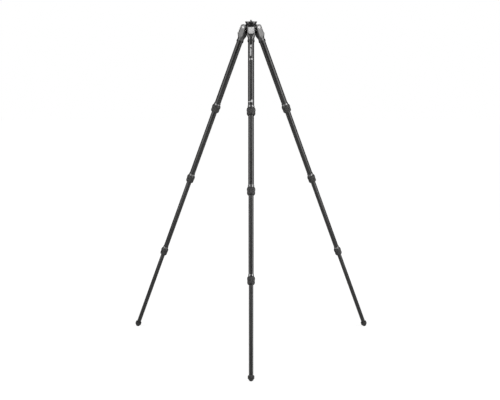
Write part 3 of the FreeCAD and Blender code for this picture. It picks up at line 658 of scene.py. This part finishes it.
def set_camera():
    data = bpy.data.cameras.new("camera")
    data.lens = CAMERA_LENS
    data.shift_x = CAMERA_SHIFT_X
    data.clip_end = CAMERA_SIGHT
    camera = bpy.data.objects.new("camera", data)
    camera.location = (0.0, -CAMERA_DISTANCE, cad_box[0].z + CAMERA_ABOVE_FLOOR)
    camera.rotation_euler = (math.radians(90 - CAMERA_PITCH), 0.0, 0.0)
    bpy.context.scene.collection.objects.link(camera)
    bpy.context.scene.camera = camera


def add_softbox(name, place, target, size, glow):
    """A rectangular light of an even brightness, turned to a target."""
    data = bpy.data.lights.new(name, "AREA")
    data.shape = "RECTANGLE"
    data.size, data.size_y = size
    data.energy = glow * math.pi * size[0] * size[1]
    light = bpy.data.objects.new(name, data)
    light.location = place
    direction = Vector(target) - Vector(place)
    light.rotation_euler = direction.to_track_quat("-Z", "Y").to_euler()
    bpy.context.scene.collection.objects.link(light)


def set_world():
    """White all round for the camera, dimmer for what the object reflects."""
    world = bpy.data.worlds.new("studio")
    world.use_nodes = True
    tree = world.node_tree
    background = tree.nodes["Background"]
    seen = tree.nodes.new("ShaderNodeLightPath").outputs["Is Camera Ray"]
    glow = tree.nodes.new("ShaderNodeMapRange")
    glow.inputs["To Min"].default_value = AMBIENT
    tree.links.new(seen, glow.inputs["Value"])
    tree.links.new(glow.outputs["Result"], background.inputs["Strength"])
    background.inputs["Color"].default_value = (1, 1, 1, 1)
    bpy.context.scene.world = world


def set_stage():
    mesh = bpy.data.meshes.new("floor")
    corners = [(x * FLOOR_HALF, y * FLOOR_HALF, 0) for x, y in ((-1, -1), (1, -1), (1, 1), (-1, 1))]
    mesh.from_pydata(corners, [], [(0, 1, 2, 3)])
    mesh.materials.append(white_floor("floor_paper"))
    floor = bpy.data.objects.new("floor", mesh)
    floor.location.z = cad_box[0].z - FLOOR_GAP
    bpy.context.scene.collection.objects.link(floor)
    for light in LIGHTS:
        add_softbox(*light)
    bpy.context.scene.view_settings.view_transform = "Standard"


# ---- pieces ----


def lathe_grain(n):
    return n.turning_lines(9000.0)


def pull_grain(n):
    """Lines across the tab."""
    return n.noise(1.0, 3.0, n.stretched((4000.0, 300.0, 4000.0)))


def plain_grain(n):
    return n.noise(2500.0, 3.0)


MATERIALS = {
    "hub": worn_metal_with_edge_highlight("hub_black", 0.012, 0.34, 0.1, metallic=0.2),
    "platform": worn_metal_with_edge_highlight("platform_black", 0.15, 0.28, 0.3, lathe_lines=1.0),
    "casting": worn_metal_with_edge_highlight("casting_grey", 0.1, 0.27, 0.4, black_from=END_RING * MM),
    "silver": bright_metal("tab_silver", 0.74, 0.4, pull_grain, metallic=0.35),
    "turned": bright_metal("turned_silver", 0.42, 0.26, lathe_grain),
    "sleeve": bright_metal("turned_grey", 0.2, 0.26, lathe_grain),
    "steel": bright_metal("plain_steel", 0.6, 0.34, plain_grain),
    "rubber": rubber("black_rubber"),
    "nut": nut_plastic("nut_plastic"),
    "plastic": bearing_plastic("acetal"),
    "level": level_liquid("level_liquid"),
}


def build_root():
    dress("hub", MATERIALS["hub"], CASTING_BEVEL)
    dress("platform", MATERIALS["platform"])
    dress("grub_screws", MATERIALS["steel"], SCREW_BEVEL)
    dress("pivot_bolts", MATERIALS["silver"])
    dress("pivot_bushes", MATERIALS["plastic"])
    dress("clamp_knob", MATERIALS["hub"])
    dress("weight_hook", MATERIALS["steel"])
    build_stud()
    build_level()


def build_stud():
    """The head stud with a real helical thread and a hex socket."""
    low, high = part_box("head_stud")
    radius = (high.x - low.x) / 2
    shank, tip = radius - STUD_SHANK_INSET, radius - STUD_CHAMFER
    rows = [(0, low.z), (shank, low.z), (shank, THREAD_START)]
    count = round((high.z - THREAD_START) / THREAD_PITCH * THREAD_ROWS)
    rows += [(radius, THREAD_START + (high.z - THREAD_START) * k / count) for k in range(1, count)]
    socket_floor = high.z - STUD_SOCKET_DEPTH
    rows += [(tip, high.z), (STUD_SOCKET, high.z), (STUD_SOCKET, socket_floor), (0, socket_floor)]

    flat = TURN / STUD_SOCKET_SIDES

    def bend(angle, r, z):
        if r == STUD_SOCKET:
            return r / math.cos((angle + flat / 2) % flat - flat / 2)
        if r < radius:
            return r
        wave = abs(2 * ((z / THREAD_PITCH - angle / TURN) % 1) - 1)
        return min(r - THREAD_DEPTH * wave, high.z - z + tip)

    stud = make_piece("head_stud_thread", lathe(rows, THREAD_SEGMENTS, bend), MATERIALS["steel"], "hub")
    stand_for("head_stud", "steel", stud)


def build_level():
    """Case, liquid and bubble of the round spirit level."""
    low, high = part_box("bubble_level")
    middle = (low + high) / 2
    radius, tall = (high.x - low.x) / 2, high.z - low.z
    inner = radius - LEVEL_CASE_WALL
    case = rounded([(inner, 0), (radius, 0), (radius, tall), (inner, tall)], LEVEL_CASE_EDGE)
    vial = [(0, LEVEL_VIAL_FLOOR), (inner - LEVEL_VIAL_GAP, LEVEL_VIAL_FLOOR)]
    for k in range(LEVEL_STEPS + 1):
        turn = math.pi / 2 * k / LEVEL_STEPS
        height = tall - LEVEL_DOME_SINK + LEVEL_DOME_HEIGHT * math.sin(turn)
        vial.append((inner * LEVEL_DOME_SHARE * math.cos(turn), height))
    vial[-1] = (0, vial[-1][1])
    bubble = []
    for k in range(2 * LEVEL_STEPS + 1):
        turn = math.pi * (k / (2 * LEVEL_STEPS) - 0.5)
        height = tall - LEVEL_BUBBLE_SINK + LEVEL_BUBBLE_HALF * math.sin(turn)
        bubble.append((LEVEL_BUBBLE_RADIUS * math.cos(turn), height))
    bubble[0], bubble[-1] = (0, bubble[0][1]), (0, bubble[-1][1])
    place = Matrix.Translation((middle.x, middle.y, low.z))
    parts = (("case", case, "turned"), ("vial", vial, "level"), ("bubble", bubble, "plastic"))
    for name, outline, material in parts:
        shape = lathe(outline, LEVEL_SEGMENTS)
        piece = make_piece(f"level_{name}", shape, MATERIALS[material], "hub", place)
        stand_for("bubble_level", "level_glass", piece)


def build_tube(side, section):
    """A carbon tube with eased ends, wrapped in twill; the lowest one has a plug for the foot's stud."""
    node, body = f"{side}_tube_{section}", f"{side}_{BODIES[section - 1]}"
    radii, heights = leg_rings(side, f"tube_{section}")
    outer, low, high = radii.max(), heights.min(), heights.max()
    wall = radii[heights > high - MM].min()
    outline = rounded([(wall, low), (outer, low), (outer, high), (wall, high)])
    material = MATERIALS.get(f"carbon_{side}_{section}", MATERIALS[f"carbon_{section}"])
    tube = make_piece(f"{node}_cloth", lathe(outline), material, body, LEG_FRAMES[side])
    stand_for(node, "carbon_tube", tube)
    if section == SECTIONS[-1]:
        bore = radii.min()
        plug_high = heights[radii < bore + NEAR].max()
        outline = rounded([(bore, low), (wall, low), (wall, plug_high), (bore, plug_high)])
        plug = make_piece(f"{node}_plug", lathe(outline), MATERIALS["turned"], body, LEG_FRAMES[side])
        stand_for(node, "carbon_tube", plug)


def build_nut(side, lock):
    """The plastic nut of a twist collar."""
    node = f"{side}_lock_{lock}_collar"
    upper, lower, centre = tube_radius(side, lock), tube_radius(side, lock + 1), lock_height(side, lock)
    low = leg_rings(side, f"lock_{lock}_collar")[1].min()
    outside = placed(NUT_OUTLINE, upper, centre)
    bore, lip, shoulder = upper + NUT_BORE * MM, lower + NUT_LIP * MM, centre + NUT_SHOULDER * MM
    outline = [(bore, shoulder), (lip, shoulder), (lip, low), (lower + NUT_FOOT * MM, low)]
    outline += outside + [(bore, outside[-1][1])]
    shape = lathe(rounded(outline))
    nut = make_piece(f"{node}_nut", shape, MATERIALS["nut"], f"{side}_collar_{lock}", LEG_FRAMES[side])
    stand_for(node, "rubber", nut)


def build_grip(side, lock):
    """The ribbed rubber grip of a twist collar, with its waist."""
    node = f"{side}_lock_{lock}_collar"
    upper, centre = tube_radius(side, lock), lock_height(side, lock)
    inner = upper + GRIP_INNER * MM
    surface = placed(smooth_outline(GRIP_OUTLINE, GRIP_STEP), upper, centre)
    low, high = surface[0][1], surface[-1][1]

    def bend(angle, radius, height):
        fade = min(height - low, high - height) / (RIB_FADE * MM)
        groove = (0.5 + 0.5 * math.cos(GRIP_RIBS * angle)) ** RIB_SHARPNESS
        return radius - RIB_DEPTH * MM * groove * max(0.0, min(1.0, fade))

    shape = lathe([(inner, low)] + surface + [(inner, high)], GRIP_RIBS * RIB_SEGMENTS, bend)
    grip = make_piece(f"{node}_grip", shape, MATERIALS["rubber"], f"{side}_collar_{lock}", LEG_FRAMES[side])
    stand_for(node, "rubber", grip)


def build_sleeve(side, lock):
    """The lock's metal sleeve, with turned lines above the collar, and its split plastic collet."""
    node, body = f"{side}_lock_{lock}_sleeve", f"{side}_{BODIES[lock - 1]}"
    upper, lower, centre = tube_radius(side, lock), tube_radius(side, lock + 1), lock_height(side, lock)
    high = (leg_rings(side, f"lock_{lock}_sleeve")[1].max() - centre) / MM
    thread, thread_low, thread_high = SLEEVE_THREAD
    outline = [(SLEEVE_BORE, thread_low), (thread, thread_low)]
    outline += [(thread, thread_high), (SLEEVE_RING, thread_high)]
    groove = SLEEVE_RING - SLEEVE_LINE_DEPTH
    for line in SLEEVE_LINES:
        start, end = line - SLEEVE_LINE_HALF, line + SLEEVE_LINE_HALF
        outline += [(SLEEVE_RING, start), (groove, start), (groove, end), (SLEEVE_RING, end)]
    outline += [(SLEEVE_RING, high), (SLEEVE_BORE, high)]
    shape = lathe(rounded(placed(outline, upper, centre), SLEEVE_EDGE * MM))
    sleeve = make_piece(f"{node}_ring", shape, MATERIALS["sleeve"], body, LEG_FRAMES[side])
    inner = lower + COLLET_GRIP * MM
    wall = placed(COLLET_OUTLINE, upper, centre)
    shape = lathe([(inner, wall[0][1])] + wall + [(inner, wall[-1][1])], slit=COLLET_SLIT * MM / upper)
    collet = make_piece(f"{node}_collet", shape, MATERIALS["plastic"], body, LEG_FRAMES[side])
    stand_for(node, "silver_aluminium", sleeve, collet)


def foot_ball():
    """The foot's ball-shaped tip with tread grooves, from the axis outward, in millimetres."""
    outline = []
    for k in range(FOOT_BALL_STEPS + 1):
        turn = math.radians(FOOT_BALL_ANGLE * k / FOOT_BALL_STEPS)
        grooved = k % FOOT_TREAD_STEPS == FOOT_TREAD_STEPS - 1
        reach = FOOT_BALL_RADIUS - (FOOT_TREAD_DEPTH if grooved else 0.0)
        outline.append((reach * math.sin(turn), FOOT_BALL_RADIUS - FOOT_HEIGHT - reach * math.cos(turn)))
    return outline


def split_rows(outline, low, high, inner, count):
    """The outline with extra points on the lines outside a radius and between two heights."""
    rows = []
    for (r0, z0), (r1, z1) in zip(outline, outline[1:]):
        parts = count if low < (z0 + z1) / 2 < high and r0 > inner else 1
        rows += [(r0 + (r1 - r0) * k / parts, z0 + (z1 - z0) * k / parts) for k in range(parts)]
    return rows + [outline[-1]]


def build_foot(side):
    """A rubber foot with a fluted collar and a ball-shaped tip, on its stud."""
    node, body, place = f"{side}_foot", f"{side}_section_4", LEG_FRAMES[side]
    top = leg_rings(side, "foot")[1].min() + FOOT_HEIGHT * MM
    socket, hole = tube_radius(side, 4) / MM + FOOT_SOCKET_GAP, FOOT_STUD_RADIUS + FOOT_HOLE_GAP
    low, high = FOOT_STUD_ENDS
    outline = foot_ball() + list(FOOT_SIDE)
    outline += [(socket, 0.0), (socket, FOOT_SOCKET), (hole, FOOT_SOCKET), (hole, low), (0, low)]
    flute_low, flute_high = FOOT_SIDE[1][1], FOOT_SIDE[4][1]
    rows = split_rows(outline, flute_low, flute_high, socket, FOOT_FLUTE_ROWS)

    def bend(angle, radius, height):
        share = (height / MM - top / MM - flute_low) / (flute_high - flute_low)
        if not 0 < share < 1 or radius < FOOT_FLUTE_INNER * MM:
            return radius
        groove = (0.5 + 0.5 * math.cos(FOOT_FLUTES * angle)) ** FOOT_FLUTE_SHARPNESS
        fade = min(1.0, FOOT_FLUTE_RISE * math.sin(math.pi * share))
        return radius - FOOT_FLUTE_DEPTH * MM * groove * fade

    shape = lathe(placed(rows, 0.0, top), FOOT_FLUTES * FOOT_FLUTE_SEGMENTS, bend)
    rubber_foot = make_piece(f"{node}_rubber", shape, MATERIALS["rubber"], body, place)
    stud_outline = [(0, low), (FOOT_STUD_RADIUS, low), (FOOT_STUD_RADIUS, high), (0, high)]
    shape = lathe(placed(stud_outline, 0.0, top), FOOT_STUD_SEGMENTS)
    stud = make_piece(f"{node}_stud", shape, MATERIALS["steel"], body, place)
    stand_for(node, "rubber", rubber_foot, stud)


def build_leg(side):
    place = LEG_FRAMES[side]
    dress(f"{side}_casting", MATERIALS["casting"], CASTING_BEVEL, place)
    dress(f"{side}_angle_tab", MATERIALS["silver"], CASTING_BEVEL, place)
    build_foot(side)
    build_spring(side)
    for section in SECTIONS:
        build_tube(side, section)
        if section > 1:
            dress(f"{side}_tube_{section}_shims", MATERIALS["plastic"], 0.0, place)
    for lock in LOCKS:
        build_sleeve(side, lock)
        build_nut(side, lock)
        build_grip(side, lock)


def build_spring(side):
    """The tab's compression spring, as a coil riding on the leg. The real one shortens as the tab is pulled;
    this coil keeps its length.
    """
    node = f"{side}_tab_spring"
    points = own_points(node, LEG_FRAMES[side])
    low, high = points[:, 2].min(), points[:, 2].max()
    x = (points[:, 0].min() + points[:, 0].max()) / 2
    radius = (points[:, 0].max() - points[:, 0].min()) / 2 - SPRING_WIRE
    place = LEG_FRAMES[side] @ Matrix.Translation((x, 0, 0))
    shape = coil(radius, SPRING_WIRE, SPRING_TURNS, low + SPRING_WIRE, high - SPRING_WIRE)
    spring = make_piece(f"{node}_coil", shape, MATERIALS["steel"], f"{side}_leg", place)
    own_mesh(spring)
    stand_for(node, "steel", spring)


for section in SECTIONS:
    MATERIALS[f"carbon_{section}"] = carbon(f"carbon_{section}", tube_radius("front", section))
MATERIALS["carbon_front_1"] = carbon("carbon_printed", tube_radius("front", 1), PRINTED_MARKS)

build_root()
for side in SIDES:
    build_leg(side)
set_world()
set_stage()
set_camera()
